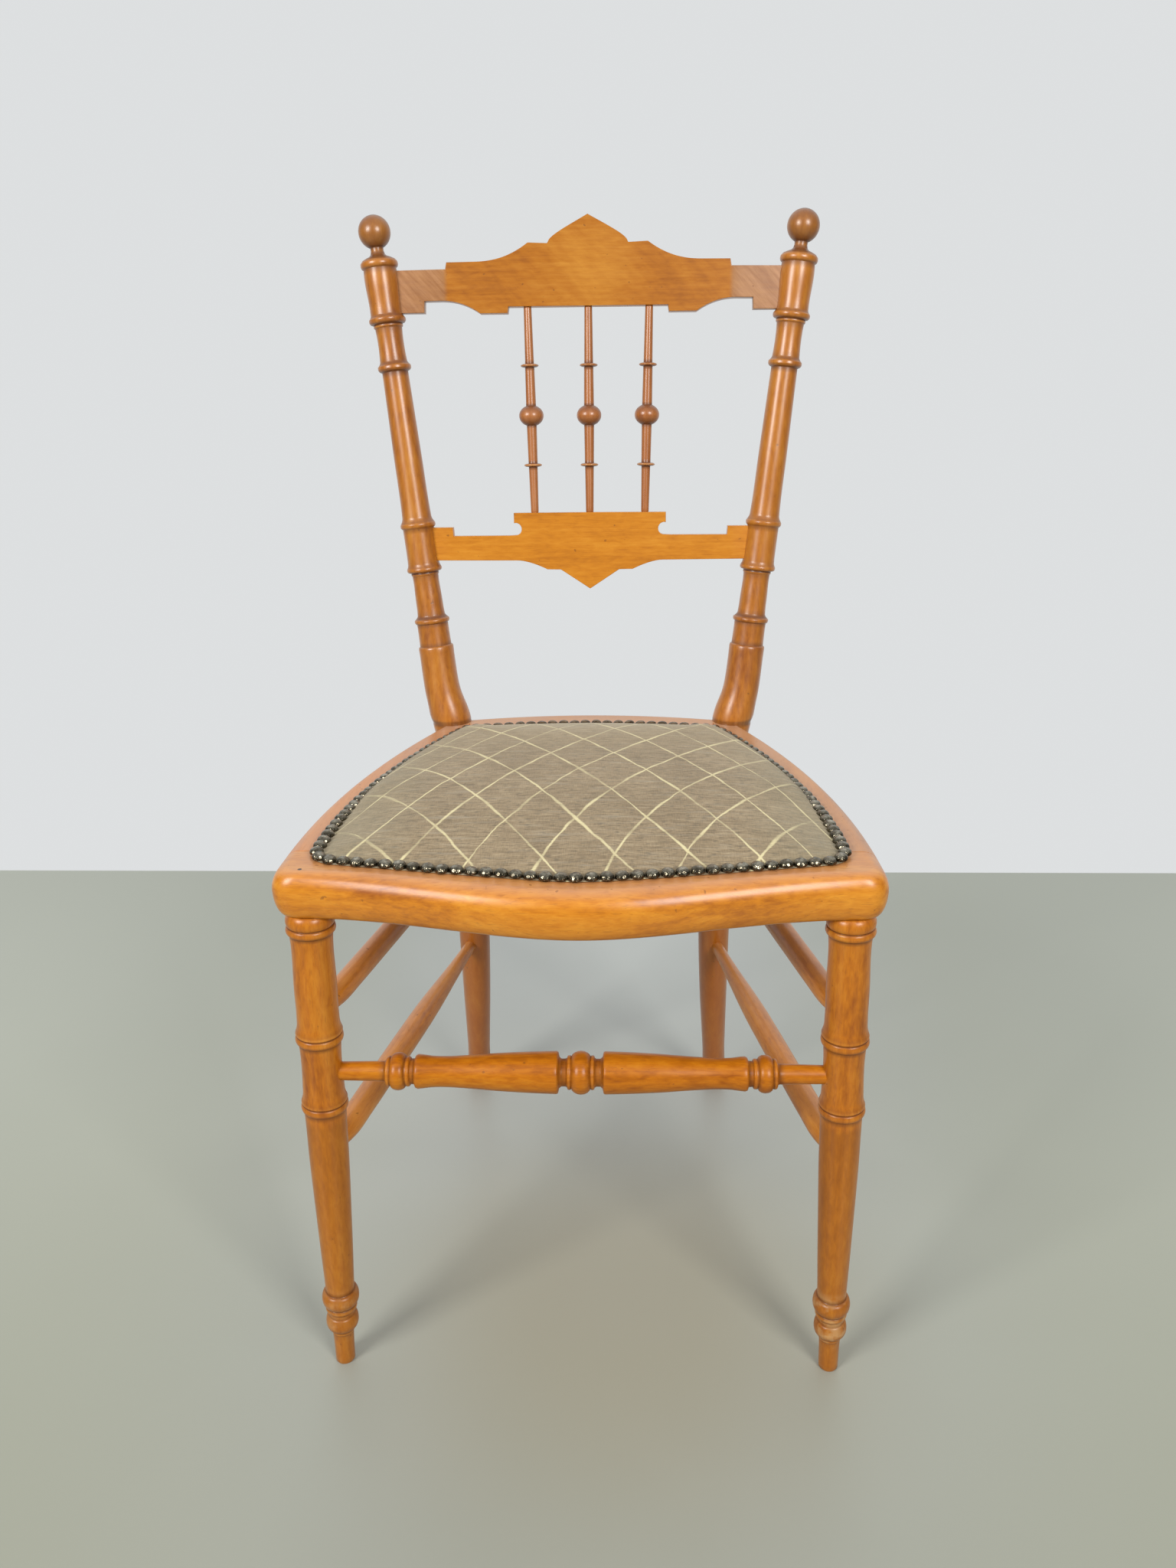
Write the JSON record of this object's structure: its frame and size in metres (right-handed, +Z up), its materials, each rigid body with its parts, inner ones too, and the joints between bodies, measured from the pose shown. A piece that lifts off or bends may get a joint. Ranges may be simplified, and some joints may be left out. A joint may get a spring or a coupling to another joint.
{
  "type": "side chair",
  "caption": "Turned fruitwood side chair with ringed legs and posts, a fret-sawn back with spindles, and a flat cloth seat edged with domed nails.",
  "frame": {"origin": "on the floor, at the middle of the chair's box in plan", "axes": "+Z up, the sitter faces -Y, +X is to the right of a viewer who stands in front of the chair"},
  "size_m": [0.438, 0.4582, 0.9051],
  "materials": {
    "fruitwood": "satin varnish, honey amber",
    "cover_cloth": "woven, taupe with a cream diamond trellis",
    "jute": "woven jute, raw",
    "stuffing": "felted fibre",
    "nail_metal": "darkened antique"
  },
  "bodies": {
    "root": {"front_leg_left": "fruitwood", "front_leg_right": "fruitwood", "back_post_left": "fruitwood", "back_post_right": "fruitwood", "seat_front_rail": "fruitwood", "seat_left_rail": "fruitwood", "seat_right_rail": "fruitwood", "seat_back_rail": "fruitwood", "crest_rail": "fruitwood", "lower_back_rail": "fruitwood", "back_spindle_left": "fruitwood", "back_spindle_centre": "fruitwood", "back_spindle_right": "fruitwood", "front_stretcher": "fruitwood", "left_upper_stretcher": "fruitwood", "left_lower_stretcher": "fruitwood", "right_upper_stretcher": "fruitwood", "right_lower_stretcher": "fruitwood", "rear_stretcher": "fruitwood", "webbing_long_left": "jute", "webbing_long_centre": "jute", "webbing_long_right": "jute", "webbing_cross_front": "jute", "webbing_cross_middle": "jute", "webbing_cross_back": "jute", "seat_hessian": "jute", "seat_padding": "stuffing", "seat_cover": "cover_cloth", "nail_row_front": "nail_metal", "nail_row_left": "nail_metal", "nail_row_right": "nail_metal", "nail_row_back": "nail_metal"}
  },
  "joints": []
}
